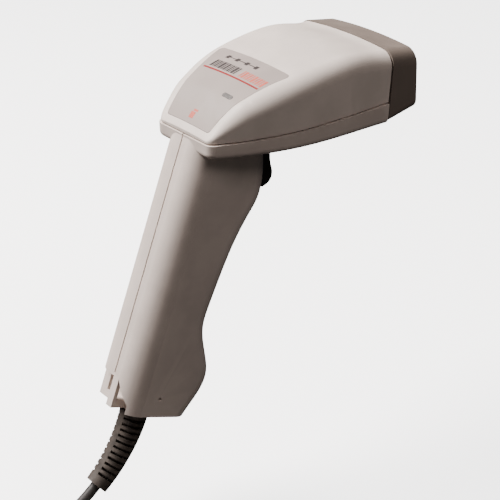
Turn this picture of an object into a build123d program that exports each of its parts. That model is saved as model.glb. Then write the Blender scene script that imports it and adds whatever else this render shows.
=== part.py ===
from build123d import *
from math import atan2, cos, pi, radians, sin, sqrt, tan
import os

# Hand-held laser barcode scanner, pistol shape.
# All shapes are drawn from the head datum: the rear end of the seam between cover and
# tray, with +X forward, +Y to the left and +Z up. On export everything is moved so that
# the origin is the centre of the grip, where a hand holds it.

# ---- driving dimensions, mm ----
GRIP_X = 8.0                # head datum seen from the grip centre
GRIP_Z = 67.0
RAKE = 22.9                 # the handle leans back from the vertical by this, degrees
WALL = 2.2                  # moulded wall
SEAM_GAP = 0.8              # groove between cover and tray
TRAY_LEDGE = 0.6            # the tray stands out past the cover all round
CROWN_RADIUS = 300.0        # the cover's top is slightly domed from side to side

RIM_X = 99.0                # where cover and tray meet the bezel, at the seam
RIM_LEAN = 0.106            # the rim leans forward by this much per mm of height
RIM_GAP = 0.9
BEZEL_X = 118.7             # front rim of the head
REAR_CORNER = 5.0           # rounding of the tray's rear corners, seen from above

HANDLE_HALF = 16.0          # half of the handle's width
HANDLE_LENGTH = 142.0       # down the back of the handle, from the seam
HANDLE_BACK_R = 11.5
HANDLE_FRONT_R = 8.0
HANDLE_WALL = 2.4
PARTING = 0.42              # half width of the groove between the housing halves
PARTING_DEPTH = 1.3

TRIGGER_HALF = 9.3
TRIGGER_PIVOT = (39.0, -6.5)
TRIGGER_PIN_R = 1.25
RUNNING = 0.05              # running clearance on a pin

HANG_BAR = 4.4              # width of the hang bar, on the right half only
SCOOP_S = 126.5             # where the scooped corner beside the bar starts
SCOOP_DEEP = 8.0
PIN_HOLE_R = 1.0
BOOT_U = 19.1               # the cable leaves the handle this far from its back

CORD_R = 2.75
CORD_LENGTH = 1800.0
FLOOR_Z = -207.0            # the surface that the cable lies on, from the head datum
COIL_X, COIL_Y = -186.0, -6.0
COIL_LANES = 4              # turns side by side, in two layers
COIL_PITCH = 5.7
COIL_OUTER_LANE = 41.0      # radius of the outermost turn's centre line
TIE = 1.0                   # thickness of the strap round the coil
TIE_WIDE = 9.0
CONNECTOR_X, CONNECTOR_Y = -124.0, -28.0    # where the cable enters the connector's relief

LEAN = radians(RAKE)

# x, half width, top, underside, top edge radius, bottom edge radius
HEAD_STATIONS = [
    (0.0, 17.4, 1.8, -7.2, 0.8, 1.6),
    (0.5, 19.6, 2.5, -7.2, 1.1, 1.6),
    (2.0, 21.3, 4.2, -7.3, 1.8, 2.0),
    (4.5, 22.9, 6.9, -7.5, 3.0, 2.4),
    (9.0, 25.1, 11.3, -7.7, 5.0, 2.6),
    (19.0, 29.2, 18.2, -8.2, 7.5, 3.0),
    (32.0, 33.3, 23.3, -8.9, 8.8, 3.0),
    (47.0, 35.9, 26.9, -9.5, 9.0, 3.0),
    (66.0, 36.7, 29.4, -10.0, 8.6, 3.0),
    (84.0, 36.7, 29.3, -10.0, 8.5, 3.0),
    (104.0, 36.6, 27.2, -10.0, 8.5, 3.0),
]


# ---- helpers ----
def handle_plane(y=0.0):
    """Local x runs forward across the handle, local y up along it."""
    return Plane(origin=(0, y, 0), x_dir=(cos(LEAN), 0, -sin(LEAN)), z_dir=(0, -1, 0))


def handle_point(u, s, y=0.0):
    """A point u forward of the handle's back line and s down along it."""
    x = u * cos(LEAN) - s * sin(LEAN)
    z = -u * sin(LEAN) - s * cos(LEAN)
    return Vector(x, y, z)


def side_plane(y=0.0):
    """Local x is forward and local y is up, seen from the right."""
    return Plane(origin=(0, y, 0), x_dir=(1, 0, 0), z_dir=(0, -1, 0))


def across(sketch, half, plane=None):
    """Extrude a side view to both sides of the middle."""
    return extrude((plane or side_plane()) * sketch, amount=half, both=True)


def block(x0, x1, y0, y1, z0, z1):
    centre = ((x0 + x1) / 2, (y0 + y1) / 2, (z0 + z1) / 2)
    return Pos(*centre) * Box(x1 - x0, y1 - y0, z1 - z0)


def peg(x, y, z0, z1, radius):
    """An upright cylinder."""
    return Pos(x, y, (z0 + z1) / 2) * Cylinder(radius, z1 - z0)


def cross_pin(x, z, y0, y1, radius):
    """A cylinder along Y."""
    return Pos(x, (y0 + y1) / 2, z) * Rot(90, 0, 0) * Cylinder(radius, y1 - y0)


def handle_pin(u, s, y0, y1, radius):
    where = handle_point(u, s)
    return cross_pin(where.X, where.Z, y0, y1, radius)


def axle(x0, x1, y, z, radius):
    """A cylinder along X."""
    return Pos((x0 + x1) / 2, y, z) * Rot(0, 90, 0) * Cylinder(radius, x1 - x0)


def handle_block(u0, u1, s0, s1, y0, y1):
    """A box squared up with the handle."""
    sketch = Pos((u0 + u1) / 2, -(s0 + s1) / 2) * Rectangle(u1 - u0, s1 - s0)
    return extrude(handle_plane(y0) * sketch, amount=-(y1 - y0))


# ---- the head as one lofted body ----
def head_section(x, half, top, under, top_r, bottom_r, inset=0.0):
    half, top, under = half - inset, top - inset, under + inset
    top_r = max(top_r - inset, 0.5)
    bottom_r = max(bottom_r - inset, 0.5)
    crown = CROWN_RADIUS - inset
    reach = crown - top_r
    side = half - top_r
    rise = sqrt(reach**2 - side**2)
    hub = top - crown
    shoulder = hub + rise
    touch = (side * crown / reach, hub + rise * crown / reach)
    bend = atan2(rise, side) / 2
    elbow = (side + top_r * cos(bend), shoulder + top_r * sin(bend))
    low = (half - bottom_r * (1 - cos(pi / 4)), under + bottom_r * (1 - sin(pi / 4)))
    right = [
        Line((half, under + bottom_r), (half, shoulder)),
        ThreePointArc((half, shoulder), elbow, touch),
        ThreePointArc((half - bottom_r, under), low, (half, under + bottom_r)),
    ]
    left = [mirror(edge, Plane.YZ) for edge in right]
    crown_arc = ThreePointArc(touch, (0, top), (-touch[0], touch[1]))
    base = Line((-half + bottom_r, under), (half - bottom_r, under))
    face = make_face(Curve() + right + left + [crown_arc, base])
    return Plane(origin=(x, 0, 0), x_dir=(0, 1, 0), z_dir=(1, 0, 0)) * face


def head_body(inset):
    """The head's outer shape moved inwards by inset, or outwards if it is negative."""
    if inset > 1:
        stations = [s for s in HEAD_STATIONS if s[0] > inset]
    else:
        stations = [(s[0] + inset, *s[1:]) for s in HEAD_STATIONS]
    return loft([head_section(*station, inset=inset) for station in stations])


def rim_side(shift, front):
    """Everything ahead of (or behind) the leaning rim, moved forward by shift."""
    low, high, far = -30.0, 50.0, (200.0 if front else -60.0)
    at = RIM_X + shift
    outline = Polyline(
        (at + RIM_LEAN * low, low), (far, low), (far, high), (at + RIM_LEAN * high, high),
        close=True,
    )
    return across(make_face(outline), 60)


def above(z):
    return block(-20, 160, -60, 60, z, 60)


# ---- the cover and what is on it ----
LABEL_RECESS = 0.35
LABEL_PROUD = 0.03
LABEL_REAR_X, LABEL_REAR_HALF = 2.6, 16.9
LABEL_FRONT_X, LABEL_FRONT_HALF = 44.5, 27.4
LED_X, LED_Y = 18.1, -11.9
LENS_LONG, LENS_WIDE = 7.2, 2.2
COVER_BOSSES = [(33.0, 24.0), (33.0, -24.0)]
COVER_BOSS_Z = 0.5
INDICATOR_POSTS = [(14.0, 15.0), (14.0, -17.0)]
INDICATOR_Z = 6.0           # underside of the indicator board
THIN_BOARD = 1.2
SCREW_R = 1.25
SMALL_SCREW_R = 0.9


def top_cover():
    shell = (head_body(0.0) & above(SEAM_GAP / 2)) - rim_side(0.0, True)
    shell -= head_body(WALL)
    lip = head_body(WALL + 0.4) & block(20, RIM_X - 9, -60, 60, -1.4, SEAM_GAP / 2)
    lip += head_body(WALL - 0.2) & block(20, RIM_X - 9, -60, 60, SEAM_GAP / 2, 1.2)
    lip -= head_body(WALL + 1.4)
    cover = shell + lip
    roof = head_body(1.0)
    for x, y in COVER_BOSSES:
        cover += peg(x, y, COVER_BOSS_Z, 40, 3.2) & roof
        cover -= peg(x, y, COVER_BOSS_Z - 1, COVER_BOSS_Z + 5, SCREW_R)
    for x, y in INDICATOR_POSTS:
        cover += peg(x, y, INDICATOR_Z + THIN_BOARD, 40, 2.4) & roof
        cover -= peg(x, y, INDICATOR_Z, INDICATOR_Z + 5, SMALL_SCREW_R)
    cover -= label_column(0.15) - head_body(LABEL_RECESS)
    return cover - lens_shape(0.05)


def label_column(margin):
    """A tall prism over the label's outline, wider at the front."""
    outline = Polyline(
        (LABEL_REAR_X - margin, -LABEL_REAR_HALF - margin),
        (LABEL_FRONT_X + margin, -LABEL_FRONT_HALF - margin),
        (LABEL_FRONT_X + margin, LABEL_FRONT_HALF + margin),
        (LABEL_REAR_X - margin, LABEL_REAR_HALF + margin),
        close=True,
    )
    plan = make_face(outline)
    plan = fillet(plan.vertices(), 2.0 + margin)
    return extrude(Pos(0, 0, 1.5) * plan, amount=40)


def label_overlay():
    label = (label_column(0.0) & head_body(-LABEL_PROUD)) - head_body(LABEL_RECESS)
    return label - lens_shape(0.05)


def lens_shape(margin):
    slot = SlotOverall(LENS_LONG + 2 * margin, LENS_WIDE + 2 * margin, rotation=90)
    return extrude(Pos(LED_X, LED_Y, 11.5) * slot, amount=20)


def indicator_lens():
    return lens_shape(0.0) & head_body(-0.15)


# ---- the lower housing: head tray and handle ----
HOUSING_SCREWS = [(8.0, 22.0), (37.0, 47.0), (7.0, 96.0), (34.0, 130.0)]  # u, s
HOUSING_BOSS_R = 3.0
SCREW_HEAD_R = 2.5
CHASSIS_POSTS = [(56.0, 22.0), (50.5, -18.0), (88.0, 18.0), (88.0, -18.0)]
CHASSIS_Z = -3.5            # underside of the engine chassis
GROMMET = 1.0


def handle_outline(inset):
    length = HANDLE_LENGTH - inset
    shrink = 1.1 * inset
    front_points = [
        (41.6, -HANDLE_LENGTH), (45.4, -134), (48.3, -126.5), (48.9, -118), (45.8, -110),
        (40.9, -101), (37.7, -92), (37.6, -84), (39.0, -68), (41.3, -50), (45.6, -33),
        (48.1, -23.5), (47.6, -15), (44.0, -3), (36.2, 15.3),
    ]
    front = Spline([(u - shrink, max(v, -length)) for u, v in front_points])
    back = Line((inset, 25), (inset, -length))
    bottom = Line((inset, -length), (41.6 - shrink, -length))
    top = Polyline((36.2 - shrink, 15.3), (36.2 - shrink, 25), (inset, 25))
    return make_face(Curve() + [back, bottom, front, top])


def handle_body(inset):
    body = across(handle_outline(inset), HANDLE_HALF - inset, handle_plane())
    flanks = body.edges().filter_by(
        lambda edge: abs(abs(edge.center().Y) - HANDLE_HALF + inset) < 0.01
    )
    back = flanks.sort_by(Axis((0, 0, 0), (cos(LEAN), 0, -sin(LEAN))))[:2]
    front = flanks.filter_by(GeomType.BSPLINE)
    body = fillet(back, HANDLE_BACK_R - inset)
    flanks = body.edges().filter_by(
        lambda edge: abs(abs(edge.center().Y) - HANDLE_HALF + inset) < 0.01
    )
    return fillet(flanks.filter_by(GeomType.BSPLINE), HANDLE_FRONT_R - inset)


def scoop():
    """The lower back corner: stepped away on the left of the hang bar, pocketed on its right."""
    left = handle_block(-2, SCOOP_DEEP - 2, SCOOP_S, HANDLE_LENGTH + 8, 0, HANDLE_HALF + 4)
    pocket = handle_block(-2, SCOOP_DEEP, SCOOP_S + 2.5, SCOOP_S + 11.5, -HANG_BAR - 0.1, 9.5)
    away = Plane(origin=handle_point(-2, 0), x_dir=(0, 1, 0), z_dir=(cos(LEAN), 0, -sin(LEAN)))
    triangle = Polyline(
        (-HANG_BAR, -SCOOP_S), (-12.3, -SCOOP_S - 11), (-12.3, -HANDLE_LENGTH - 8),
        (-HANG_BAR, -HANDLE_LENGTH - 8), close=True,
    )
    return left + pocket + extrude(away * make_face(triangle), amount=SCOOP_DEEP + 2)


def hang_bar():
    loop = Polyline((0, -125), (0, -138.6), (1.6, -140.3), (8.1, -140.3), (8.1, -125), close=True)
    hole = Polyline((2.2, -129), (2.2, -137.6), (8.2, -137.6), (8.2, -129), close=True)
    profile = make_face(loop) - make_face(hole)
    return extrude(handle_plane(0.0) * profile, amount=HANG_BAR)


def parting_groove():
    """The line that shows between the two halves, down the back and under the foot."""
    ring = Polyline(
        (-1, 20), (PARTING_DEPTH, 20), (PARTING_DEPTH, -125), (-1, -125), close=True
    )
    foot = Polyline(
        (10, -HANDLE_LENGTH - 1), (10, -HANDLE_LENGTH + PARTING_DEPTH),
        (41, -HANDLE_LENGTH + PARTING_DEPTH), (41, -HANDLE_LENGTH - 1), close=True,
    )
    return across(make_face(ring) + make_face(foot), PARTING, handle_plane())


def tray_body(inset):
    """The head below the seam: upright sides and a floor that drops towards the front."""
    side = [
        (inset, 20.6 - inset), (19.0, 29.2 - inset), (47.0, 35.9 - inset),
        (84.0, 36.7 - inset), (106.0, 36.6 - inset),
    ]
    left = Spline(side, tangents=((0.88, 0.47), (1, 0)))
    right = mirror(left, Plane.XZ)
    ends = [Line(left @ 0, right @ 0), Line(left @ 1, right @ 1)]
    plan = make_face(Curve() + [left, right, *ends])
    plan = fillet(plan.vertices().sort_by(Axis.X)[:2], REAR_CORNER - inset / 2)
    body = extrude(Pos(0, 0, -16) * plan, amount=24)
    low = Polyline((-9, -30), (120, -30), (120, tray_floor(120)), (-9, tray_floor(-9)), close=True)
    body -= Pos(0, 0, inset) * across(make_face(low), 60)
    floor = body.faces().sort_by(Axis.Z)[0]
    rims = floor.edges().filter_by(lambda edge: edge.center().X < 104)
    return fillet(rims, max(TRAY_EDGE - inset, 0.6))


def tray_floor(x):
    return -7.3 - 0.029 * x


TRAY_EDGE = 2.4


def housing():
    """Tray and handle in one piece, before it is parted down the middle."""
    body = tray_body(-TRAY_LEDGE) + handle_body(0.0)
    body -= above(-SEAM_GAP / 2)
    body -= rim_side(0.0, True)
    body -= tray_body(WALL)
    body -= handle_body(HANDLE_WALL) - handle_block(-5, 10.0, 124, 150, -20, 20)
    body -= scoop()
    body += hang_bar()
    return body


def fitted_housing(body):
    """The moulding with its bosses, openings and the parting line."""
    core = handle_body(1.0)
    for u, s in HOUSING_SCREWS:
        body += handle_pin(u, s, -HANDLE_HALF, HANDLE_HALF, HOUSING_BOSS_R) & core
    for x, y in CHASSIS_POSTS:
        body += peg(x, y, -8.6, CHASSIS_Z - GROMMET, 2.8)
        body -= peg(x, y, -7.5, 0, SCREW_R)
    body += cross_pin(*TRIGGER_PIVOT, -14, 14, 3.0) - above(-3.4)
    body -= trigger_opening()
    body -= cross_pin(*TRIGGER_PIVOT, -12.6, 12.6, TRIGGER_PIN_R)
    body -= handle_pin_along(BOOT_U, HANDLE_LENGTH - 4, HANDLE_LENGTH + 4, BOOT_NECK_R)
    for u, s in HOUSING_SCREWS:
        body -= handle_pin(u, s, -HANDLE_HALF + 5, HANDLE_HALF - 3, SCREW_R)
        body -= handle_pin(u, s, HANDLE_HALF - 4, HANDLE_HALF + 2, SCREW_HEAD_R)
    for x, y in COVER_BOSSES:
        body += peg(x, y, -8.2, COVER_BOSS_Z - 1.0, 3.2) - above(COVER_BOSS_Z - 0.8)
        body -= peg(x, y, -12, 5, SCREW_R)
        body -= peg(x, y, -12, -5.5, SCREW_HEAD_R)
    return body - parting_groove()


def trigger_opening():
    """The slot in the front of the handle and the floor of the tray for the trigger."""
    half = TRIGGER_HALF + 0.5
    slot = block(34.0, 60.0, -half, half, -38.9, -2.5)
    return slot + block(30.0, 50.0, -half, half, -36.0, 12.0)


def handle_pin_along(u, s0, s1, radius):
    """A cylinder down the handle, parallel to its back."""
    middle = handle_point(u, (s0 + s1) / 2)
    return Pos(middle.X, middle.Y, middle.Z) * Rot(0, RAKE, 0) * Cylinder(radius, s1 - s0)


def left_housing(body):
    return body & block(-120, 160, 0, 60, -200, 60)


def right_housing(body):
    half = body & block(-120, 160, -60, 0, -200, 60)
    return half - handle_pin(PIN_HOLE_U, PIN_HOLE_S, -20, -10, PIN_HOLE_R)


# ---- bezel and window ----
PIN_HOLE_U, PIN_HOLE_S = 19.7, 132.2
BEZEL_REAR = (101.0, 36.6, 27.5, -10.0, 8.5, 3.0)
BEZEL_FRONT = (BEZEL_X, 35.5, 24.4, -8.5, 8.0, 5.0)
BEZEL_WALL = 3.0
WINDOW_X = 112.0            # rear face of the window, at mid height
WINDOW_T = 2.0
WINDOW_TILT = 12.0          # the window's top leans forward, against its own reflection
GASKET = 1.2


def bezel_tube(inset, rear_x, front_x):
    def station(x):
        share = (x - BEZEL_REAR[0]) / (BEZEL_FRONT[0] - BEZEL_REAR[0])
        return [a + (b - a) * share for a, b in zip(BEZEL_REAR, BEZEL_FRONT)]

    ends = [head_section(*station(x), inset=inset) for x in (rear_x, front_x)]
    return loft(ends)


def window_slab(back, front):
    """Everything between two parallel planes that lean with the window."""
    centre = Plane(origin=(WINDOW_X, 0, 8.0), z_dir=(1, 0, 0)).rotated((0, WINDOW_TILT, 0))
    slab = Pos(0, 0, (back + front) / 2) * Box(90, 90, front - back)
    return centre * slab


def front_bezel():
    ring = bezel_tube(0.0, 94.0, BEZEL_X) - bezel_tube(BEZEL_WALL, 90.0, 125.0)
    ring &= rim_side(RIM_GAP, True)
    ledge = bezel_tube(1.0, 96.0, 116.0) - bezel_tube(BEZEL_WALL + 2.6, 90.0, 125.0)
    ledge &= window_slab(-GASKET - 2.0, -GASKET)
    return ring + ledge + sleeve_tube(WALL + 0.35, 93.0) - sleeve_tube(WALL + 1.6, 80.0)


def sleeve_tube(inset, rear_x):
    """The collar on the back of the bezel that slides into the cover and tray."""
    return loft([head_section(x, *BEZEL_REAR[1:], inset=inset) for x in (rear_x, 103.0)])


def exit_window():
    return bezel_tube(BEZEL_WALL + 0.1, 90.0, 125.0) & window_slab(0.0, WINDOW_T)


def window_gasket():
    ring = bezel_tube(BEZEL_WALL + 0.1, 90.0, 125.0) - bezel_tube(BEZEL_WALL + 2.4, 80.0, 130.0)
    return ring & window_slab(-GASKET, 0.0)


# ---- trigger, its pin, spring and switch ----
SPRING_HALF = 3.0
SPRING_OUT_R = 2.5
SPRING_IN_R = 1.6
PLUNGER_R = 1.4
PLUNGER_S = 9.3             # the plunger's line, down the handle
TAB_U = 38.5                # end of the trigger's tab, straight below its pivot
PLUNGER_TIP_U = TAB_U - 0.3
SWITCH = (23.0, 32.4, 5.6, 13.0)    # u0, u1, s0, s1
HANDLE_BOARD_Y = -4.6       # right face of the handle board
BOARD = 1.6


def trigger():
    front = Spline(
        (44.2, -9.6), (45.9, -19), (46.1, -26), (47.0, -31.2), (45.2, -35.8), (40.6, -38.0),
        tangents=((0.2, -1), (-1, -0.25)),
    )
    back = Polyline((40.6, -38.0), (38.2, -36.4), (36.6, -12), (36.0, -6.5))
    crown = ThreePointArc((36.0, -6.5), (39.0, -3.5), (42.0, -6.5))
    face = make_face(Curve() + [front, back, crown, Line((42.0, -6.5), (44.2, -9.6))])
    body = across(face, TRIGGER_HALF)
    edges = body.edges().filter_by(GeomType.BSPLINE)
    body = fillet(edges.filter_by(lambda e: abs(abs(e.center().Y) - TRIGGER_HALF) < 0.01), 2.0)
    body += handle_block(TAB_U, 44.0, PLUNGER_S - 2, PLUNGER_S + 2, -2.5, 2.5)
    body -= cross_pin(*TRIGGER_PIVOT, -12, 12, TRIGGER_PIN_R + RUNNING)
    x, z = TRIGGER_PIVOT
    well = cross_pin(x, z, -SPRING_HALF - 0.4, SPRING_HALF + 0.4, SPRING_OUT_R + 0.4)
    well += block(x - 8, x, -SPRING_HALF - 0.4, SPRING_HALF + 0.4, z - 3.4, z + 8)
    return body - well


def trigger_pin():
    return cross_pin(*TRIGGER_PIVOT, -12.5, 12.5, TRIGGER_PIN_R)


def trigger_spring():
    """A torsion spring on the pin, as the tube that its turns fill, with one leg."""
    x, z = TRIGGER_PIVOT
    coil = cross_pin(x, z, -SPRING_HALF, SPRING_HALF, SPRING_OUT_R)
    coil -= cross_pin(x, z, -SPRING_HALF - 1, SPRING_HALF + 1, SPRING_IN_R)
    leg = block(x - 9.0, x - 0.5, 1.6, 2.4, z + 1.7, z + 2.5)
    return coil + leg


def trigger_switch():
    u0, u1, s0, s1 = SWITCH
    case = handle_block(u0, u1, s0, s1, HANDLE_BOARD_Y + BOARD, 3.4)
    bore = plunger_shape(u0 + 1.5, u1 + 1.0, PLUNGER_R + RUNNING)
    return case - bore


def plunger_shape(u0, u1, radius):
    """A cylinder along the plunger's line, across the handle."""
    middle = handle_point((u0 + u1) / 2, PLUNGER_S)
    stem = Rot(0, 90 + RAKE, 0) * Cylinder(radius, u1 - u0)
    return Pos(middle.X, 0.2, middle.Z) * stem


def switch_plunger():
    return plunger_shape(SWITCH[0] + 4.8, PLUNGER_TIP_U, PLUNGER_R)


# ---- screws ----
def headed_screw(head_r, head_h, shank_r, length):
    """A pan-head screw, its shank down -Z from the origin, with a cross recess."""
    screw = Pos(0, 0, head_h / 2) * Cylinder(head_r, head_h)
    screw = fillet(screw.edges().group_by(Axis.Z)[-1], head_h * 0.4)
    screw += Pos(0, 0, -length / 2) * Cylinder(shank_r, length)
    for turn in (0, 90):
        screw -= Pos(0, 0, head_h) * Rot(0, 0, turn) * Box(head_r * 1.1, head_r * 0.25, head_h)
    return screw


def together(shapes):
    return Compound(children=[s if isinstance(s, Solid) else s.solid() for s in shapes])


def housing_screws():
    screws = []
    for u, s in HOUSING_SCREWS:
        at = handle_point(u, s, HANDLE_HALF - 4)
        screw = headed_screw(2.3, 1.6, SCREW_R, 17.0)
        screws.append(Pos(at.X, at.Y, at.Z) * Rot(-90, 0, 0) * screw)
    return together(screws)


def cover_screws():
    screws = []
    for x, y in COVER_BOSSES:
        screw = headed_screw(2.3, 1.6, SCREW_R, 10.0)
        screws.append(Pos(x, y, -5.5) * Rot(180, 0, 0) * screw)
    return together(screws)


# ---- the scan engine ----
CHASSIS_T = 2.5
CHASSIS_X = (47.0, 94.0)
CHASSIS_HALF = 27.0
BEAM_Z = 7.0
MIRROR_X, MIRROR_Y = 60.0, 0.0
LASER_Y = (-25.0, -9.0)
LASER_R = 4.0
MAIN_BOARD_Z = 17.6
CHIP_H = 1.4


def engine_chassis():
    plate = block(*CHASSIS_X, -CHASSIS_HALF, CHASSIS_HALF, CHASSIS_Z, CHASSIS_Z + CHASSIS_T)
    plate = fillet(plate.edges().filter_by(Axis.Z), 3.0)
    top = CHASSIS_Z + CHASSIS_T
    for x, y in BOARD_POSTS:
        plate += peg(x, y, top - 0.5, MAIN_BOARD_Z, 2.4)
        plate -= peg(x, y, MAIN_BOARD_Z - 4, MAIN_BOARD_Z + 1, SMALL_SCREW_R)
    for x, y in CHASSIS_POSTS:
        plate -= peg(x, y, CHASSIS_Z - 1, top + 1, SCREW_R)
    cradle = block(MIRROR_X - 6, MIRROR_X + 6, -23, -11, top - 0.5, BEAM_Z + 1.0)
    plate += cradle - cross_pin(MIRROR_X, BEAM_Z, -30, -5, LASER_R)
    stand = block(48.5, 50.5, 12.4, 25, top - 0.5, 4.0)
    return plate + stand - peg(MIRROR_X, MIRROR_Y, CHASSIS_Z + 0.5, top + 1, MIRROR_PIN_R)


BOARD_POSTS = [(50.0, -24.0), (50.0, 0.0), (91.0, -24.0), (91.0, 24.0)]
MIRROR_PIN_R = 0.75
MIRROR_LOW = BEAM_Z - 5.0
MIRROR_HIGH = BEAM_Z + 5.0


def mirror_pin():
    return peg(MIRROR_X, MIRROR_Y, CHASSIS_Z + 0.5, MIRROR_HIGH + 1.5, MIRROR_PIN_R)


def mirror_hub():
    """The hub turns on the pin and carries the drive magnet at its foot."""
    hub = peg(MIRROR_X, MIRROR_Y, 1.0, MIRROR_HIGH, 2.0)
    arm = block(-7.0, 0.0, -1.2, 1.2, 1.2, 4.2)
    hub += Pos(MIRROR_X, MIRROR_Y, 0) * Rot(0, 0, -45) * arm
    hub -= peg(MIRROR_X, MIRROR_Y, 0, 20, MIRROR_PIN_R + RUNNING)
    return hub - mirror_slab(1.2, 4.0, 20)


def mirror_slab(near, far, half):
    """A layer in front of the hub, facing half way between the laser and the window."""
    slab = block(near, far, -half, half, MIRROR_LOW - 2, MIRROR_HIGH + 2)
    return Pos(MIRROR_X, MIRROR_Y, 0) * Rot(0, 0, -45) * slab


def scan_mirror():
    slab = block(1.2, 2.2, -5.0, 5.0, MIRROR_LOW, MIRROR_HIGH)
    return Pos(MIRROR_X, MIRROR_Y, 0) * Rot(0, 0, -45) * slab


def drive_coil():
    """A bobbin beside the magnet's path, on a foot on the chassis."""
    spot = Pos(*DRIVE_SPOT) * Rot(0, 0, -45) * Rot(0, 90, 0)
    ring = spot * (Cylinder(DRIVE_R, 3.0) - Cylinder(1.6, 6))
    x, y, z = DRIVE_SPOT
    floor = CHASSIS_Z + CHASSIS_T
    foot = block(x - 1.5, x + 1.5, y - 1.5, y + 1.5, floor, z - 2.0)
    return ring + foot


DRIVE_SPOT = (52.0, 7.4, 2.8)
DRIVE_R = 3.4


def laser_barrel():
    barrel = cross_pin(MIRROR_X, BEAM_Z, *LASER_Y, LASER_R)
    barrel -= cross_pin(MIRROR_X, BEAM_Z, LASER_Y[0] - 1, LASER_Y[0] + 3.2, 2.8)
    return barrel - cross_pin(MIRROR_X, BEAM_Z, LASER_Y[0] + 2, LASER_Y[1] + 1, 2.3)


def laser_diode():
    can = cross_pin(MIRROR_X, BEAM_Z, LASER_Y[0] - 0.6, LASER_Y[0] + 3.2, 2.8)
    for x, z in ((-1.0, -0.6), (1.0, -0.6), (0.0, 1.1)):
        can += cross_pin(MIRROR_X + x, BEAM_Z + z, LASER_Y[0] - 4.0, LASER_Y[0] - 0.3, 0.25)
    return can


def collimator_lens():
    return cross_pin(MIRROR_X, BEAM_Z, LASER_Y[1] - 3.0, LASER_Y[1] - 1.0, 2.3)


def collecting_mirror():
    """A dished mirror at the rear of the engine, facing forward."""
    blank = block(48.5, 52.0, 12.0, 26.0, 4.0, 15.5)
    return blank - Pos(90.0, 18.0, 9.0) * Sphere(39.5)


def photodiode():
    package = block(86.0, 87.4, 8.0, 14.0, 3.0, 9.0)
    stand = block(87.4, 89.0, 8.0, 14.0, CHASSIS_Z + CHASSIS_T, 9.0)
    return package + stand


def optical_filter():
    return block(85.0, 86.0, 7.5, 14.5, 2.6, 9.4)


def chassis_grommets():
    rings = []
    for x, y in CHASSIS_POSTS:
        ring = peg(x, y, CHASSIS_Z - GROMMET, CHASSIS_Z, 2.8)
        rings.append(ring - peg(x, y, CHASSIS_Z - 3, CHASSIS_Z + 3, SCREW_R))
    return together(rings)


def chassis_screws():
    top = CHASSIS_Z + CHASSIS_T
    return together(
        [Pos(x, y, top) * headed_screw(2.2, 1.4, SCREW_R, 6.0) for x, y in CHASSIS_POSTS]
    )


def main_board():
    board = block(46.0, 93.0, -27.0, 27.0, MAIN_BOARD_Z, MAIN_BOARD_Z + BOARD)
    board = fillet(board.edges().filter_by(Axis.Z), 1.5)
    for x, y in BOARD_POSTS:
        board -= peg(x, y, 0, 30, SMALL_SCREW_R)
    return board


def main_chips():
    top = MAIN_BOARD_Z + BOARD
    places = [(62, -8, 12, 12), (78, -8, 10, 8), (70, 12, 14, 9), (85, 10, 5, 6), (56, 14, 5, 4)]
    return together([block(x - a / 2, x + a / 2, y - b / 2, y + b / 2, top, top + CHIP_H)
                     for x, y, a, b in places])


def board_screws():
    top = MAIN_BOARD_Z + BOARD
    return together(
        [Pos(x, y, top) * headed_screw(1.6, 0.9, SMALL_SCREW_R, 4.5) for x, y in BOARD_POSTS]
    )


def indicator_board():
    board = block(9.5, 28.0, -20.0, 18.0, INDICATOR_Z, INDICATOR_Z + THIN_BOARD)
    board = board & head_body(WALL + 0.6)
    for x, y in INDICATOR_POSTS:
        board -= peg(x, y, 0, 30, SMALL_SCREW_R)
    return board


def indicator_screws():
    return together(
        [Pos(x, y, INDICATOR_Z) * Rot(180, 0, 0) * headed_screw(1.6, 0.9, SMALL_SCREW_R, 4.5)
         for x, y in INDICATOR_POSTS]
    )


def indicator_led():
    low = INDICATOR_Z + THIN_BOARD
    return peg(LED_X, LED_Y, low, low + 3.2, 1.5) + peg(LED_X, LED_Y, low, low + 0.7, 1.8)


def beeper():
    low = INDICATOR_Z + THIN_BOARD
    can = peg(22.0, 6.0, low, low + 5.0, 5.5)
    return can - peg(22.0, 6.0, low + 4.0, low + 6, 1.0)


# ---- what is in the handle ----
BOARD_U = (12.5, 32.4)
BOARD_S = (5.6, 103.0)
JACK = (12.6, 26.4, 103.0, 119.0)   # u0, u1, s0, s1
JACK_Y = (-6.0, 6.0)
PLUG_HALF_Y = 4.4
PLUG_U = (14.6, 22.6)
PLUG_END_S = 129.0


def handle_board():
    return handle_block(*BOARD_U, *BOARD_S, HANDLE_BOARD_Y, HANDLE_BOARD_Y + BOARD)


def handle_chips():
    low = HANDLE_BOARD_Y + BOARD
    places = [(22, 36, 14, 14), (22, 58, 12, 10), (20, 74, 8, 8), (24, 88, 9, 5)]
    return together([handle_block(u - a / 2, u + a / 2, s - b / 2, s + b / 2, low, low + CHIP_H)
                     for u, s, a, b in places])


def ribbon_cable():
    """From the rear edge of the main board down to the top of the handle board."""
    start = (45.9, MAIN_BOARD_Z + 0.8)
    end = handle_point(20.0, BOARD_S[0] - 0.1)
    route = FilletPolyline(
        (start[0], start[1]), (37.5, 15.5), (30.5, 6.0), (29.5, -6.0), (end.X, end.Z),
        radius=3.0,
    )
    strip = trace(route, line_width=0.6)
    return extrude(side_plane(HANDLE_BOARD_Y + BOARD / 2) * strip, amount=5.5, both=True)


def modular_jack():
    u0, u1, s0, s1 = JACK
    case = handle_block(u0, u1, s0, s1, *JACK_Y)
    p0, p1 = PLUG_U
    return case - handle_block(p0, p1, s0 + 3.0, s1 + 1, -PLUG_HALF_Y, PLUG_HALF_Y)


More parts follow.
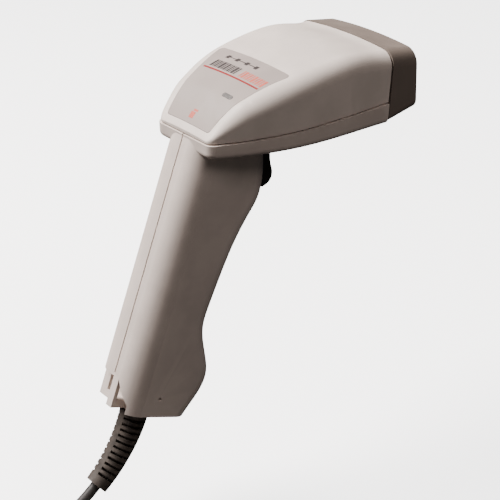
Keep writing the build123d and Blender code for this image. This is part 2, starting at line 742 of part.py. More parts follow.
def modular_plug():
    """The cable's plug, with the latch that the pin hole gives access to."""
    p0, p1 = PLUG_U
    plug = handle_block(p0 + 0.15, p1 - 0.15, JACK[2] + 3.2, PLUG_END_S,
                        -PLUG_HALF_Y + 0.15, PLUG_HALF_Y - 0.15)
    latch = handle_block(17.0, 21.0, 122.0, 126.5, -6.2, -PLUG_HALF_Y + 0.4)
    return plug + latch - cord_tube()


# ---- strain relief ----
BOOT_NECK_R = 6.6
BOOT_FLANGE_R = 8.4
BOOT_TOP_R = 7.5
BOOT_END_R = 6.0
BOOT_END_LENGTH = 47.0      # along the cable, below the foot of the handle
SLOTS = 12
SLOT_PITCH = 3.4
SLOT_WIDE = 1.4
SLOT_DEPTH = 2.3
FIRST_SLOT = 3.6
SPINE_HALF = 2.0            # the rib down the boot's back
FRONT_SPINE_HALF = 4.8


def boot_spot(below):
    """Plane square to the cable, this far along it from the foot of the handle."""
    path = cord_path()
    share = (HANDLE_LENGTH - PLUG_END_S + below) / path.length
    return Plane(origin=path @ share, x_dir=(0, 1, 0), z_dir=path % share)


def boot_radius(below):
    return BOOT_TOP_R + (BOOT_END_R - BOOT_TOP_R) * (below / BOOT_END_LENGTH) ** 1.1


def strain_relief():
    stops = [0.0, 8.0, 16.0, 24.0, 32.0, 40.0, BOOT_END_LENGTH]
    boot = loft([boot_spot(s) * Circle(boot_radius(s)) for s in stops])
    reach = BOOT_TOP_R + 2
    slot = Box(2 * reach, 2 * reach, SLOT_WIDE)
    slot -= Pos(0, -reach, 0) * Box(2 * SPINE_HALF, 2 * reach, 9)
    slot -= Pos(0, reach, 0) * Box(2 * FRONT_SPINE_HALF, 2 * reach, 9)
    for index in range(SLOTS):
        below = FIRST_SLOT + index * SLOT_PITCH
        boot -= boot_spot(below) * (slot - Cylinder(boot_radius(below) - SLOT_DEPTH, 9))
    wall = HANDLE_WALL
    top = HANDLE_LENGTH - wall
    boot += handle_pin_along(BOOT_U, top - 2.4, top - 0.05, BOOT_FLANGE_R)
    boot += handle_pin_along(BOOT_U, top - 1, HANDLE_LENGTH + 0.5, BOOT_NECK_R - 0.05)
    return boot - cord_tube()


# ---- cable ----
def cord_points():
    top = handle_point(BOOT_U, PLUG_END_S)
    bend = handle_point(BOOT_U, 158.0)
    return [
        (top.X, 0.0, top.Z),
        (bend.X, 0.0, bend.Z),
        (-57.4, 0.0, -170.2),
        (-76.6, 0.0, -184.6),
        (-100.0, 3.0, -196.2),
        (-123.0, 10.5, FLOOR_Z + CORD_R),
        (-146.0, 25.5, LOW_LAYER),
        (-166.0, LEAD_Y, LOW_LAYER),
        (LEAD_X, LEAD_Y, LOW_LAYER),
    ]


def tail_points():
    """From the coil's last turn, on its near side, forward into the connector."""
    return [
        (COIL_X + TAIL_START, TAIL_Y, HIGH_LAYER),
        (COIL_X + 34, TAIL_Y, HIGH_LAYER),
        (COIL_X + 54, CONNECTOR_Y, CONNECTOR_Z),
        (CONNECTOR_X + 13.0, CONNECTOR_Y, CONNECTOR_Z),
    ]


LEAD_X = -180.0             # the cable joins its coil here
TAIL_START = 22.0           # and is clear of it this far past its middle
TAIL_BEND = 24.0
LEAD_Y = COIL_Y + COIL_OUTER_LANE
TAIL_Y = COIL_Y - COIL_OUTER_LANE
COIL_LOW = FLOOR_Z + TIE
LOW_LAYER = COIL_LOW + CORD_R
HIGH_LAYER = LOW_LAYER + 2 * CORD_R
COIL_OUT_R = COIL_OUTER_LANE + CORD_R + 0.3
COIL_IN_R = COIL_OUTER_LANE - (COIL_LANES - 1) * COIL_PITCH - CORD_R - 0.3
COIL_HIGH = HIGH_LAYER + CORD_R


def bend_radii(route):
    points = [Vector(*p) for p in route]
    radii = []
    for a, b, c in zip(points, points[1:], points[2:]):
        turn = (b - a).get_angle(c - b)
        run = min((b - a).length, (c - b).length)
        radii.append(0.45 * run / tan(radians(turn) / 2))
    return radii


def cord_path():
    return FilletPolyline(*cord_points(), radius=bend_radii(cord_points()))


def tail_path():
    return FilletPolyline(*tail_points(), radius=TAIL_BEND)


def tube(path, radius):
    return sweep(Plane(origin=path @ 0, z_dir=path % 0) * Circle(radius), path=path)


def cord_tube():
    return tube(cord_path(), CORD_R)


def cord_tail():
    return tube(tail_path(), CORD_R)


def cord_coil():
    """The closed outer shape of the put-away turns, with the cable's way in and out."""
    ring = peg(COIL_X, COIL_Y, COIL_LOW, COIL_HIGH, COIL_OUT_R)
    ring = fillet(ring.edges().filter_by(GeomType.CIRCLE), 2.4)
    ring -= peg(COIL_X, COIL_Y, COIL_LOW - 1, COIL_HIGH + 1, COIL_IN_R)
    ring += axle(COIL_X, LEAD_X, LEAD_Y, LOW_LAYER, CORD_R)
    return ring + axle(COIL_X, COIL_X + TAIL_START, TAIL_Y, HIGH_LAYER, CORD_R)


def coil_tie():
    """A strap round the bundle, on the side away from the scanner."""
    middle = COIL_X - (COIL_OUT_R + COIL_IN_R) / 2
    deep = COIL_OUT_R - COIL_IN_R + 2 * TIE
    high = COIL_HIGH - COIL_LOW + 2 * TIE
    strap = Pos(middle, COIL_Y, (COIL_LOW + COIL_HIGH) / 2) * Box(deep, TIE_WIDE, high)
    strap = fillet(strap.edges().filter_by(Axis.Y), 3.0)
    return strap - cord_coil()


# ---- the connector on the far end, drawn on its own axis, facing -X ----
RELIEF_X = (-20.0, 0.0)
HOOD_X = (-52.0, -18.0)
HOOD_HALF_Y = 16.0
HOOD_HALF_Z = 8.4
CONNECTOR_Z = FLOOR_Z + HOOD_HALF_Z
FLANGE_T = 1.0
SHELL_REACH = 6.0
JACK_SCREW_Y = 12.495       # half of the jack screws' spacing
JACK_SCREW_R = 1.42
JACK_SHANK_R = 1.2
CONTACT_PITCH = 2.77
CONTACT_ROW = 1.42


def d_outline(inset):
    """The D shape of a nine-way connector: long side up, seen from behind."""
    wide, narrow, half = 8.15 - inset, 6.85 - inset, 3.95 - inset
    outline = Polyline((-narrow, -half), (narrow, -half), (wide, half), (-wide, half), close=True)
    face = make_face(outline)
    return fillet(face.vertices(), 2.4 - inset)


def connector_plane(x):
    return Plane(origin=(x, 0, 0), x_dir=(0, -1, 0), z_dir=(-1, 0, 0))


def screw_line(x0, x1, side, radius):
    return axle(x0, x1, side * JACK_SCREW_Y, 0, radius)


def connector_relief():
    x0, x1 = RELIEF_X
    length = x1 - x0
    body = Pos((x0 + x1) / 2, 0, 0) * Rot(0, 90, 0) * Cone(5.6, 3.9, length)
    for index in range(4):
        x = x0 + 5.0 + index * 3.2
        body -= axle(x, x + 1.2, 0, 0, 9.0) - axle(x, x + 1.2, 0, 0, 3.6)
    return body - axle(x1 - 14.0, x1 + 1, 0, 0, CORD_R)


def connector_hood():
    x0, x1 = HOOD_X
    hood = block(x0, x1, -HOOD_HALF_Y, HOOD_HALF_Y, -HOOD_HALF_Z, HOOD_HALF_Z)
    hood = fillet(hood.edges().filter_by(Axis.X), 2.5)
    hood -= connector_relief()
    for side in (-1, 1):
        hood -= screw_line(x0 - 1, x1 + 1, side, JACK_SHANK_R + 0.1)
        hood -= screw_line(x1 - 4.0, x1 + 1, side, KNOB_R + 0.4)
    hood -= extrude(connector_plane(x0 + 9.0) * d_outline(0.6), amount=12)
    return hood - axle(x0 + 6, x1, 0, 0, CORD_R)


def connector_shell():
    x0 = HOOD_X[0]
    plate = block(x0 - FLANGE_T, x0, -15.4, 15.4, -6.2, 6.2)
    plate = fillet(plate.edges().filter_by(Axis.X), 1.5)
    tube = extrude(connector_plane(x0) * d_outline(0.0), amount=FLANGE_T + SHELL_REACH)
    core = extrude(connector_plane(x0 + 1) * d_outline(0.6), amount=20)
    for side in (-1, 1):
        plate -= screw_line(x0 - 5, x0 + 5, side, JACK_SCREW_R + 0.15)
    return plate + tube - core


def contact_places():
    """Five contacts in the long row and four in the short one, as y and z offsets."""
    for row, count in ((CONTACT_ROW, 5), (-CONTACT_ROW, 4)):
        for index in range(count):
            yield (index - (count - 1) / 2) * CONTACT_PITCH, row


def connector_insert():
    x0 = HOOD_X[0]
    body = extrude(connector_plane(x0 + 8.6) * d_outline(0.6), amount=8.6 + SHELL_REACH)
    for y, z in contact_places():
        body -= axle(x0 - 20, x0 + 20, y, z, 0.9)
    return body


def connector_contacts():
    x0 = HOOD_X[0]
    sleeves = []
    for y, z in contact_places():
        sleeve = axle(x0 - SHELL_REACH + 0.4, x0 + 8.0, y, z, 0.9)
        bore = axle(x0 - SHELL_REACH - 1, x0 + 2.0, y, z, 0.55)
        sleeves.append(sleeve - bore)
    return together(sleeves)


KNOB_R = 3.1


def thumbscrew(side):
    x0, x1 = HOOD_X
    knob = screw_line(x1 - 3.6, x1 + 6.4, side, KNOB_R)
    knob = fillet(knob.edges().filter_by(GeomType.CIRCLE), 0.6)
    for index in range(12):
        turn = radians(30 * index)
        y = side * JACK_SCREW_Y + (KNOB_R + 0.1) * cos(turn)
        z = (KNOB_R + 0.1) * sin(turn)
        knob -= axle(x1 - 2.8, x1 + 5.6, y, z, 0.45)
    knob -= screw_line(x1 + 5.4, x1 + 8, side, 5) & block(x1 + 5.4, x1 + 8, -20, 20, -0.5, 0.5)
    knob += screw_line(x0 - FLANGE_T - 1, x1 - 3.0, side, JACK_SHANK_R)
    return knob + screw_line(x0 - FLANGE_T - 5.5, x0 - FLANGE_T - 0.2, side, JACK_SCREW_R)


# ---- everything, in the frame of the grip ----
def save(name, shape):
    """Write one node, with each of its solids moved to the grip's frame."""
    solids = [Pos(GRIP_X, 0, GRIP_Z) * solid for solid in shape.solids()]
    node = solids[0] if len(solids) == 1 else Compound(children=solids)
    node.label = name
    export_step(node, f"parts/{name}.step")


def cord_report():
    """Print how tight the cable's bends are, and its whole length."""
    lanes = [COIL_OUTER_LANE - index * COIL_PITCH for index in range(COIL_LANES)]
    wound = 2 * pi * 2 * sum(lanes) - pi * lanes[0]
    print("bend radii", [round(r, 1) for r in bend_radii(cord_points())], TAIL_BEND)
    total = cord_path().length + tail_path().length + wound + LEAD_X - COIL_X + TAIL_START
    print("whole cable", round(total), "against", CORD_LENGTH)


SINGLE_PARTS = [
    top_cover, label_overlay, indicator_lens, front_bezel, exit_window, window_gasket,
    trigger, trigger_pin, trigger_spring, trigger_switch, switch_plunger,
    housing_screws, cover_screws, engine_chassis, chassis_grommets, chassis_screws,
    mirror_pin, mirror_hub, scan_mirror, drive_coil, laser_barrel, laser_diode,
    collimator_lens, collecting_mirror, photodiode, optical_filter,
    main_board, main_chips, board_screws,
    indicator_board, indicator_screws, indicator_led, beeper,
    handle_board, handle_chips, ribbon_cable, modular_jack, modular_plug,
    strain_relief, cord_tube, cord_coil, cord_tail, coil_tie,
]
CONNECTOR_PARTS = [
    connector_relief, connector_hood, connector_shell, connector_insert, connector_contacts,
]


def main():
    os.makedirs("parts", exist_ok=True)
    moulding = fitted_housing(housing())
    save("left_housing", left_housing(moulding))
    save("right_housing", right_housing(moulding))
    for make in SINGLE_PARTS:
        save(make.__name__, make())
    place = Pos(CONNECTOR_X, CONNECTOR_Y, CONNECTOR_Z) * Rot(0, 0, 180)
    for make in CONNECTOR_PARTS:
        save(make.__name__, place * make())
    save("thumbscrew_left", place * thumbscrew(-1))
    save("thumbscrew_right", place * thumbscrew(1))
    cord_report()


main()
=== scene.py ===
"""Handheld barcode scanner: looks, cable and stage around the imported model."""
from math import cos, pi, radians, sin

import bpy
from mathutils import Matrix, Vector
from mathutils.bvhtree import BVHTree


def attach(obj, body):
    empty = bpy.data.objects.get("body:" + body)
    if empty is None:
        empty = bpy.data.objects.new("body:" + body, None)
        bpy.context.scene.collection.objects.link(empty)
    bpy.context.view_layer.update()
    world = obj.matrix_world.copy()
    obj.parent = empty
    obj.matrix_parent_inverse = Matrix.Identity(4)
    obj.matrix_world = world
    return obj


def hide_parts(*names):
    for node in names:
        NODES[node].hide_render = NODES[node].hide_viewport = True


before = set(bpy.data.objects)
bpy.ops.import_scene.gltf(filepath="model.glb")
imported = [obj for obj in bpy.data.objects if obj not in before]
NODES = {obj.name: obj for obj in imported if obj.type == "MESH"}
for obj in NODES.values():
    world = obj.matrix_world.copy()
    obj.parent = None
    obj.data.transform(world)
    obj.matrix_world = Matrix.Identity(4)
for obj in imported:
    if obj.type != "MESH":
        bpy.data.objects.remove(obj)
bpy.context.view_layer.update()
MM = 0.001

# ---- camera ----
CAMERA_AT = (-0.3611, -0.54167, 0.34249)
CAMERA_TURN, CAMERA_RISE, CAMERA_ROLL = -36.9, 27.41, -1.75     # degrees
CAMERA_LENS = 106.67            # mm, on a 36 mm sensor

data = bpy.data.cameras.new("camera")
data.lens, data.sensor_width = CAMERA_LENS, 36.0
data.clip_start, data.clip_end = 0.01, 50.0
camera = bpy.data.objects.new("camera", data)
bpy.context.scene.collection.objects.link(camera)
camera.matrix_world = (
    Matrix.Translation(CAMERA_AT)
    @ Matrix.Rotation(radians(CAMERA_TURN), 4, "Z")
    @ Matrix.Rotation(radians(90 - CAMERA_RISE), 4, "X")
    @ Matrix.Rotation(radians(CAMERA_ROLL), 4, "Z")
)
bpy.context.scene.camera = camera

# ---- shader helpers ----
class Shader:
    """A principled material whose patterns are measured in millimetres on the part."""

    def __init__(self, name, colour, roughness, **sockets):
        self.material = bpy.data.materials.new(name)
        self.material.use_nodes = True
        self.tree = self.material.node_tree
        self.nodes, self.links = self.tree.nodes, self.tree.links
        self.main = self.nodes["Principled BSDF"]
        self.colour = colour
        self.set("Base Color", (*colour[:3], 1.0))
        self.set("Roughness", roughness)
        for socket, value in sockets.items():
            self.set(socket.replace("_", " ").title(), value)
        self.place = self.nodes.new("ShaderNodeTexCoord").outputs["Object"]

    def set(self, socket, value):
        names = {s.name.lower(): s for s in self.main.inputs}
        names[socket.lower()].default_value = value

    def link(self, output, socket):
        self.links.new(output, socket)

    def stretched(self, scale):
        """Object coordinates scaled on each axis, for brushed or drawn patterns."""
        node = self.nodes.new("ShaderNodeMapping")
        node.inputs["Scale"].default_value = scale
        self.link(self.place, node.inputs["Vector"])
        return node.outputs["Vector"]

    def noise(self, size_mm, detail=3.0, vector=None, rough=0.55):
        node = self.nodes.new("ShaderNodeTexNoise")
        node.inputs["Scale"].default_value = 1.0 / (size_mm * MM)
        node.inputs["Detail"].default_value = detail
        node.inputs["Roughness"].default_value = rough
        self.link(vector or self.place, node.inputs["Vector"])
        return node.outputs["Fac"]

    def cells(self, size_mm, vector=None, feature="F1"):
        node = self.nodes.new("ShaderNodeTexVoronoi")
        node.feature = feature
        node.inputs["Scale"].default_value = 1.0 / (size_mm * MM)
        self.link(vector or self.place, node.inputs["Vector"])
        return node.outputs["Distance"]

    def ramp(self, value, low, high, out_low=0.0, out_high=1.0):
        node = self.nodes.new("ShaderNodeMapRange")
        node.interpolation_type = "SMOOTHSTEP"
        for socket, number in zip(("From Min", "From Max", "To Min", "To Max"),
                                  (low, high, out_low, out_high)):
            node.inputs[socket].default_value = number
        self.link(value, node.inputs["Value"])
        return node.outputs["Result"]

    def mix(self, amount, first, second):
        """A colour between two, either of which may be a colour or an output."""
        node = self.nodes.new("ShaderNodeMix")
        node.data_type = "RGBA"
        self.link(amount, node.inputs["Factor"])
        for name, value in (("A", first), ("B", second)):
            socket = [s for s in node.inputs if s.name == name and s.type == "RGBA"][0]
            if isinstance(value, (tuple, list)):
                socket.default_value = (*value[:3], 1.0)
            else:
                self.link(value, socket)
        return [s for s in node.outputs if s.type == "RGBA"][0]

    def bump(self, height, depth_mm, strength=1.0):
        node = self.nodes.new("ShaderNodeBump")
        node.inputs["Distance"].default_value = depth_mm * MM
        node.inputs["Strength"].default_value = strength
        self.link(height, node.inputs["Height"])
        if self.main.inputs["Normal"].is_linked:
            self.link(self.main.inputs["Normal"].links[0].from_socket, node.inputs["Normal"])
        self.link(node.outputs["Normal"], self.main.inputs["Normal"])

    def shaded(self, low, high, size_mm, detail=4.0):
        """The base colour drifts between two multiples of itself."""
        dark = tuple(c * low for c in self.colour[:3])
        light = tuple(min(c * high, 1.0) for c in self.colour[:3])
        output = self.mix(self.ramp(self.noise(size_mm, detail), 0.35, 0.65), dark, light)
        self.link(output, self.main.inputs["Base Color"])
        return output

    def worn(self, colour, start=0.53, end=0.60):
        """Sharp outer edges polish lighter."""
        point = self.nodes.new("ShaderNodeNewGeometry").outputs["Pointiness"]
        edge = self.ramp(point, start, end, 0.0, 0.5)
        base = self.main.inputs["Base Color"].links[0].from_socket
        self.link(self.mix(edge, base, colour), self.main.inputs["Base Color"])

    def rough(self, low, high, size_mm):
        self.link(self.ramp(self.noise(size_mm), 0.35, 0.65, low, high),
                  self.main.inputs["Roughness"])


def moulded(name, colour, roughness, grain=0.32, depth=0.035, drift=(0.95, 1.04), coat=0.0):
    """Moulded plastic with a spark-eroded grain and slow drifts of tone."""
    shader = Shader(name, colour, roughness)
    shader.set("Specular IOR Level", 0.4)
    shader.set("Coat Weight", coat)
    shader.shaded(*drift, 22.0)
    shader.worn(tuple(min(c * 1.25 + 0.01, 1.0) for c in colour))
    shader.rough(roughness - 0.06, roughness + 0.08, 9.0)
    shader.bump(shader.noise(grain, 2.0), depth)
    shader.bump(shader.noise(grain * 6, 3.0), depth * 0.8)
    return shader


def rubber(name, colour, roughness=0.62):
    shader = Shader(name, colour, roughness)
    shader.set("Specular IOR Level", 0.35)
    shader.shaded(0.8, 1.35, 5.0)
    shader.worn(tuple(c * 2.4 + 0.01 for c in colour))
    shader.rough(roughness - 0.1, roughness + 0.1, 3.0)
    shader.bump(shader.noise(0.35, 2.0), 0.03)
    return shader


def metal(name, colour, roughness, stretch=(1, 1, 1), grain=0.6, depth=0.01):
    """Plated, turned or cast metal; stretch draws the grain out along an axis."""
    shader = Shader(name, colour, roughness, metallic=1.0)
    shader.shaded(0.9, 1.08, 4.0)
    vector = shader.stretched(stretch)
    shader.link(shader.ramp(shader.noise(grain, 4.0, vector), 0.3, 0.7,
                            roughness - 0.08, roughness + 0.12),
                shader.main.inputs["Roughness"])
    shader.bump(shader.noise(grain, 4.0, vector), depth)
    return shader


def clear(name, colour, roughness, ior):
    """Clear or tinted plastic and glass."""
    shader = Shader(name, colour, roughness)
    shader.set("Transmission Weight", 1.0)
    shader.set("IOR", ior)
    shader.rough(roughness, roughness + 0.06, 6.0)
    shader.bump(shader.noise(12.0, 1.0), 0.02)
    return shader


COVER_COLOUR = (0.66, 0.585, 0.535)
HOUSING_COLOUR = (0.60, 0.525, 0.48)
BEZEL_COLOUR = (0.190, 0.156, 0.135)
LABEL_COLOUR = (0.31, 0.265, 0.245)
DARK_INK = (0.035, 0.028, 0.028)
RED_INK = (0.50, 0.10, 0.07)
DARK_RED_INK = (0.24, 0.012, 0.012)


def circuit_board():
    """Green solder mask over tracks, with plated pads."""
    shader = Shader("board_mask", (0.02, 0.13, 0.05), 0.32)
    tracks = shader.cells(1.9, shader.stretched((1.0, 2.0, 1.0)), "DISTANCE_TO_EDGE")
    track = shader.ramp(tracks, 0.03, 0.08, 1.0, 0.0)
    masked = shader.mix(track, (0.016, 0.11, 0.04), (0.05, 0.24, 0.09))
    pads = shader.ramp(shader.cells(2.3), 0.10, 0.16, 1.0, 0.0)
    shader.link(shader.mix(pads, masked, (0.62, 0.60, 0.55)), shader.main.inputs["Base Color"])
    shader.bump(track, 0.03)
    shader.rough(0.26, 0.4, 8.0)
    return shader


def woven_strap():
    shader = Shader("tie_strap", (0.03, 0.03, 0.034), 0.85)
    shader.set("Sheen Weight", 0.4)
    shader.shaded(0.7, 1.5, 1.2)
    shader.bump(shader.cells(0.55), 0.25)
    shader.bump(shader.noise(0.2), 0.05)
    return shader


def copper_winding():
    shader = Shader("copper_winding", (0.62, 0.25, 0.09), 0.35, metallic=0.7)
    shader.shaded(0.75, 1.2, 0.8)
    turns = shader.noise(0.25, 1.0, shader.stretched((3.0, 0.3, 0.3)))
    shader.bump(turns, 0.08)
    return shader


def label_film():
    """Printed polyester overlay, matt with a fine emboss."""
    shader = Shader("label_film", LABEL_COLOUR, 0.58)
    shader.set("Specular IOR Level", 0.3)
    shader.shaded(0.965, 1.03, 14.0)
    shader.rough(0.52, 0.64, 7.0)
    shader.bump(shader.noise(0.22, 2.0), 0.012)
    return shader


def ink(name, colour):
    shader = Shader(name, colour, 0.58)
    shader.set("Specular IOR Level", 0.3)
    shader.shaded(0.85, 1.15, 0.7)
    shader.bump(shader.noise(0.2, 2.0), 0.01)
    return shader


def cable_jacket():
    shader = Shader("cable_jacket", (0.028, 0.026, 0.025), 0.5)
    shader.set("Specular IOR Level", 0.4)
    shader.shaded(0.8, 1.3, 9.0)
    shader.rough(0.42, 0.6, 5.0)
    shader.bump(shader.noise(0.5, 3.0), 0.02)
    return shader


def smoked_lens():
    shader = Shader("smoked_lens", (0.17, 0.16, 0.155), 0.16)
    shader.set("Coat Weight", 0.6)
    shader.set("Transmission Weight", 0.15)
    shader.shaded(0.85, 1.2, 2.0)
    ribs = shader.noise(0.5, 0.0, shader.stretched((0.2, 2.2, 0.2)))
    shader.bump(ribs, 0.06)
    return shader


LOOKS = {
    "cover": moulded("cover_plastic", COVER_COLOUR, 0.50),
    "housing": moulded("housing_plastic", HOUSING_COLOUR, 0.52),
    "bezel": moulded("bezel_plastic", BEZEL_COLOUR, 0.50, depth=0.03),
    "trigger": moulded("trigger_plastic", (0.022, 0.020, 0.020), 0.42, depth=0.03),
    "black": moulded("black_moulding", (0.03, 0.03, 0.032), 0.45, depth=0.02),
    "hood": moulded("hood_plastic", (0.47, 0.44, 0.40), 0.46),
    "ivory": moulded("board_socket", (0.06, 0.06, 0.062), 0.4, depth=0.02),
    "plunger": moulded("plunger_plastic", (0.42, 0.03, 0.02), 0.3, depth=0.01),
    "gasket": rubber("gasket_foam", (0.02, 0.02, 0.02), 0.8),
    "boot": rubber("boot_rubber", (0.055, 0.046, 0.040), 0.55),
    "steel": metal("plated_steel", (0.60, 0.60, 0.60), 0.28),
    "spring": metal("spring_wire", (0.45, 0.45, 0.46), 0.3, (1, 0.2, 1)),
    "alloy": metal("cast_alloy", (0.55, 0.55, 0.56), 0.45, grain=0.9, depth=0.04),
    "brass": metal("turned_brass", (0.72, 0.50, 0.20), 0.25, (0.3, 6, 0.3)),
    "gold": metal("contact_gold", (0.80, 0.56, 0.22), 0.22),
    "mirror": metal("mirror_silver", (0.86, 0.88, 0.90), 0.10, depth=0.001),
    "window": clear("window_red", (0.42, 0.012, 0.02), 0.05, 1.5),
    "glass": clear("lens_glass", (0.92, 0.95, 0.97), 0.03, 1.52),
    "plug": clear("plug_clear", (0.85, 0.87, 0.88), 0.12, 1.45),
    "led": clear("led_resin", (0.70, 0.86, 0.68), 0.10, 1.45),
    "board": circuit_board(),
    "flex": moulded("flex_film", (0.42, 0.19, 0.03), 0.3, depth=0.01),
    "copper": copper_winding(),
    "strap": woven_strap(),
    "label": label_film(),
    "cable": cable_jacket(),
    "lens": smoked_lens(),
    "dark_ink": ink("dark_ink", DARK_INK),
    "red_ink": ink("red_ink", RED_INK),
    "dark_red_ink": ink("dark_red_ink", DARK_RED_INK),
}

NODE_LOOKS = {
    "cover": ["top_cover"],
    "housing": ["left_housing", "right_housing"],
    "bezel": ["front_bezel"],
    "window": ["exit_window", "optical_filter"],
    "gasket": ["window_gasket", "chassis_grommets"],
    "label": ["label_overlay"],
    "lens": ["indicator_lens"],
    "trigger": ["trigger"],
    "black": ["trigger_switch", "mirror_hub", "photodiode", "main_chips", "handle_chips",
              "beeper", "connector_insert"],
    "plunger": ["switch_plunger"],
    "steel": ["trigger_pin", "housing_screws", "cover_screws", "chassis_screws", "mirror_pin",
              "laser_diode", "board_screws", "indicator_screws", "connector_shell",
              "thumbscrew_left", "thumbscrew_right"],
    "spring": ["trigger_spring"],
    "alloy": ["engine_chassis"],
    "mirror": ["scan_mirror", "collecting_mirror"],
    "copper": ["drive_coil"],
    "brass": ["laser_barrel"],
    "glass": ["collimator_lens"],
    "board": ["main_board", "indicator_board", "handle_board"],
    "led": ["indicator_led"],
    "flex": ["ribbon_cable"],
    "ivory": ["modular_jack"],
    "plug": ["modular_plug"],
    "boot": ["strain_relief", "connector_relief"],
    "cable": ["cord_tube", "cord_coil", "cord_tail"],
    "strap": ["coil_tie"],
    "hood": ["connector_hood"],
    "gold": ["connector_contacts"],
}


def dress(obj, look):
    obj.data.materials.clear()
    obj.data.materials.append(LOOKS[look].material)


for look, names in NODE_LOOKS.items():
    for name in names:
        dress(NODES[name], look)

# ---- the cable ----
CORD_R = 2.75 * MM
COIL_X, COIL_Y = -178.0 * MM, -6.0 * MM
COIL_LANES, COIL_PITCH = 4, 5.7 * MM
COIL_OUTER = 41.0 * MM
LOW_LAYER, HIGH_LAYER = -136.25 * MM, -130.75 * MM
TURN_POINTS = 16
LANE_CHANGE = 0.25              # the last part of a turn, where it moves to the next lane
ROUTE = [
    (-24.6, 0.0, -59.26), (-35.9, 0.0, -86.0), (-49.4, 0.0, -103.2), (-68.6, 0.0, -117.6),
    (-92.0, 3.0, -129.2), (-115.0, 10.5, -137.25), (-138.0, 25.5, -136.25),
    (-158.0, 35.0, -136.25),
]
TAIL = [(-144.0, -47.0, -130.75), (-124.0, -28.0, -131.6), (-103.0, -28.0, -131.6)]


def eased(share):
    share = min(max(share, 0.0), 1.0)
    return share * share * (3 - 2 * share)


def coil_points():
    """Four turns inwards on the lower layer, then three and a half outwards on the upper."""
    points = []
    turns = 2 * COIL_LANES
    lanes = [*range(COIL_LANES), *reversed(range(COIL_LANES)), 0]
    for index in range(round((turns - 0.5) * TURN_POINTS) + 1):
        turn = index / TURN_POINTS
        whole = min(int(turn), turns - 1)
        change = eased((turn - whole - 1 + LANE_CHANGE) / LANE_CHANGE)
        lane = lanes[whole] + (lanes[whole + 1] - lanes[whole]) * change
        climb = change if whole == COIL_LANES - 1 else float(whole >= COIL_LANES)
        radius = (COIL_OUTER - lane * COIL_PITCH) / cos(pi / TURN_POINTS)
        angle = radians(90) + 2 * pi * turn
        points.append((COIL_X + radius * cos(angle), COIL_Y + radius * sin(angle),
                       LOW_LAYER + (HIGH_LAYER - LOW_LAYER) * climb))
    return points


def nurbs_cord(name, points, radius):
    curve = bpy.data.curves.new(name, "CURVE")
    curve.dimensions = "3D"
    curve.bevel_depth = radius
    curve.bevel_resolution = 5
    curve.resolution_u = 6
    curve.use_fill_caps = True
    spline = curve.splines.new("NURBS")
    spline.points.add(len(points) - 1)
    for point, place in zip(spline.points, points):
        point.co = (*place, 1.0)
    spline.order_u = 3
    spline.use_endpoint_u = True
    obj = bpy.data.objects.new(name, curve)
    bpy.context.scene.collection.objects.link(obj)
    return obj


def in_metres(points):
    return [tuple(c * MM for c in p) for p in points]


cable = nurbs_cord("cable", in_metres(ROUTE) + coil_points() + in_metres(TAIL), CORD_R)
dress(cable, "cable")
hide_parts("cord_tube", "cord_coil", "cord_tail")
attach(cable, "scanner")

# ---- printing on the label ----
PATCH_STEP = 0.8                # mm, size of the facets that follow the label's curve
INK_LIFT = 0.05                 # mm, ink above the label
RAY_TOP = 0.2                   # m, above the whole part
HEAD_TOP = 0.09                 # m, used where a ray misses the label


def mesh_object(name, verts, faces):
    mesh = bpy.data.meshes.new(name)
    mesh.from_pydata(verts, [], faces)
    mesh.validate()
    obj = bpy.data.objects.new(name, mesh)
    bpy.context.scene.collection.objects.link(obj)
    return obj


def label_surface():
    tree = BVHTree.FromObject(NODES["label_overlay"], bpy.context.evaluated_depsgraph_get())

    def height(x, y):
        hit = tree.ray_cast(Vector((x, y, RAY_TOP)), Vector((0, 0, -1)))[0]
        return hit.z if hit else None

    return height


def printed(name, patches, look):
    """Ink laid on the label. A patch is x0, x1, y0, y1 in mm on the part, and how far its
    front end leans to the right."""
    height = label_surface()
    verts, faces = [], []
    for x0, x1, y0, y1, lean in patches:
        rows = max(1, round((x1 - x0) / PATCH_STEP))
        columns = max(1, round(abs(y1 - y0) / PATCH_STEP))
        first = len(verts)
        for i in range(rows + 1):
            for j in range(columns + 1):
                x = (x0 + (x1 - x0) * i / rows) * MM
                y = (y0 + (y1 - y0) * j / columns - lean * (i / rows)) * MM
                z = height(x, y)
                verts.append((x, y, (z if z is not None else HEAD_TOP) + INK_LIFT * MM))
        for i in range(rows):
            for j in range(columns):
                a = first + i * (columns + 1) + j
                faces.append((a, a + columns + 1, a + columns + 2, a + 1))
    obj = mesh_object(name, verts, faces)
    for polygon in obj.data.polygons:
        polygon.use_smooth = True
    dress(obj, look)
    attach(obj, "scanner")


def bar_row(x0, x1, y_start, y_end, widths, gap, lean):
    """Plain upright bars of several widths, from left to right across the label."""
    bars, y, index = [], y_start, 0
    while y - widths[index % len(widths)] > y_end:
        width = widths[index % len(widths)]
        bars.append((x0, x1, y - width, y, lean))
        y -= width + gap
        index += 1
    return bars


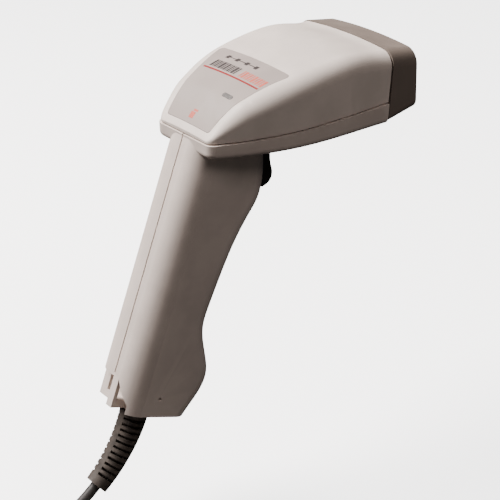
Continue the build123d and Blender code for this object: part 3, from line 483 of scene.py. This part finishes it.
STRIPE = [(35.9, 36.9, -22.0, 21.0, 0.0)]
BLACK_BARS = bar_row(37.9, 43.0, 18.5, -2.5, (1.5, 0.7, 1.1, 0.7, 1.9, 0.9), 0.55, 0.8)
RED_BARS = bar_row(37.9, 42.6, -4.5, -22.5, (0.8, 1.6, 0.8, 1.2), 0.7, 0.8)
CHAIN_LINK = 2.4
CHAIN = [(46.9, 47.4, -8.0, 16.0, 0.0)] + [
    (45.9, 48.3, y - CHAIN_LINK, y, 0.5) for y in (16.0, 8.6, 1.2, -6.0)
]
RED_MARK = [(12.3, 14.7, -1.6, 1.6, 0.0), (15.0, 15.8, -2.4, 0.8, 0.0)]
printed("label_red_stripe", STRIPE, "dark_red_ink")
printed("label_black_bars", BLACK_BARS, "dark_ink")
printed("label_red_bars", RED_BARS, "red_ink")
printed("label_chain_mark", CHAIN, "dark_ink")
printed("label_red_mark", RED_MARK, "red_ink")

# ---- stage ----
FLOOR_Z = -0.140
FLOOR_HALF = 4.0
FLOOR_GLOW = 3.0                # makes the floor as white as a lit backdrop
FLOOR_CORNERS = [
    (x * FLOOR_HALF, y * FLOOR_HALF, FLOOR_Z) for x, y in ((-1, -1), (1, -1), (1, 1), (-1, 1))
]
floor = mesh_object("floor", FLOOR_CORNERS, [(0, 1, 2, 3)])
pale = Shader("pale_floor", (0.86, 0.86, 0.86), 0.8)
pale.shaded(0.995, 1.005, 300.0)
floor.data.materials.append(pale.material)
pale.set("Emission Color", (1.0, 1.0, 1.0, 1.0))
pale.set("Emission Strength", FLOOR_GLOW)
floor.visible_diffuse = False
floor.visible_glossy = False

CENTRE = (0.03, 0.0, 0.03)      # what the lights point at
WORLD_STRENGTH = 0.03


def area_light(name, place, size, power, colour):
    light = bpy.data.lights.new(name, "AREA")
    light.shape = "DISK"
    light.size = size
    light.energy = power
    light.color = colour
    obj = bpy.data.objects.new(name, light)
    bpy.context.scene.collection.objects.link(obj)
    obj.location = place
    obj.rotation_euler = (Vector(CENTRE) - Vector(place)).to_track_quat("-Z", "Y").to_euler()


# name, place in m, diameter in m, power in W, colour
LIGHTS = [
    ("key", (-0.42, 0.55, 1.0), 0.8, 55.0, (1.0, 0.945, 0.91)),
    ("fill", (0.15, -0.85, 1.05), 0.6, 4.0, (1.0, 0.90, 0.85)),
    ("front", (-0.75, -0.8, 0.35), 0.6, 0.5, (1.0, 0.84, 0.76)),
]
for settings in LIGHTS:
    area_light(*settings)

world = bpy.data.worlds.new("studio")
world.use_nodes = True
world.node_tree.nodes["Background"].inputs["Color"].default_value = (1, 1, 1, 1)
world.node_tree.nodes["Background"].inputs["Strength"].default_value = WORLD_STRENGTH
bpy.context.scene.world = world
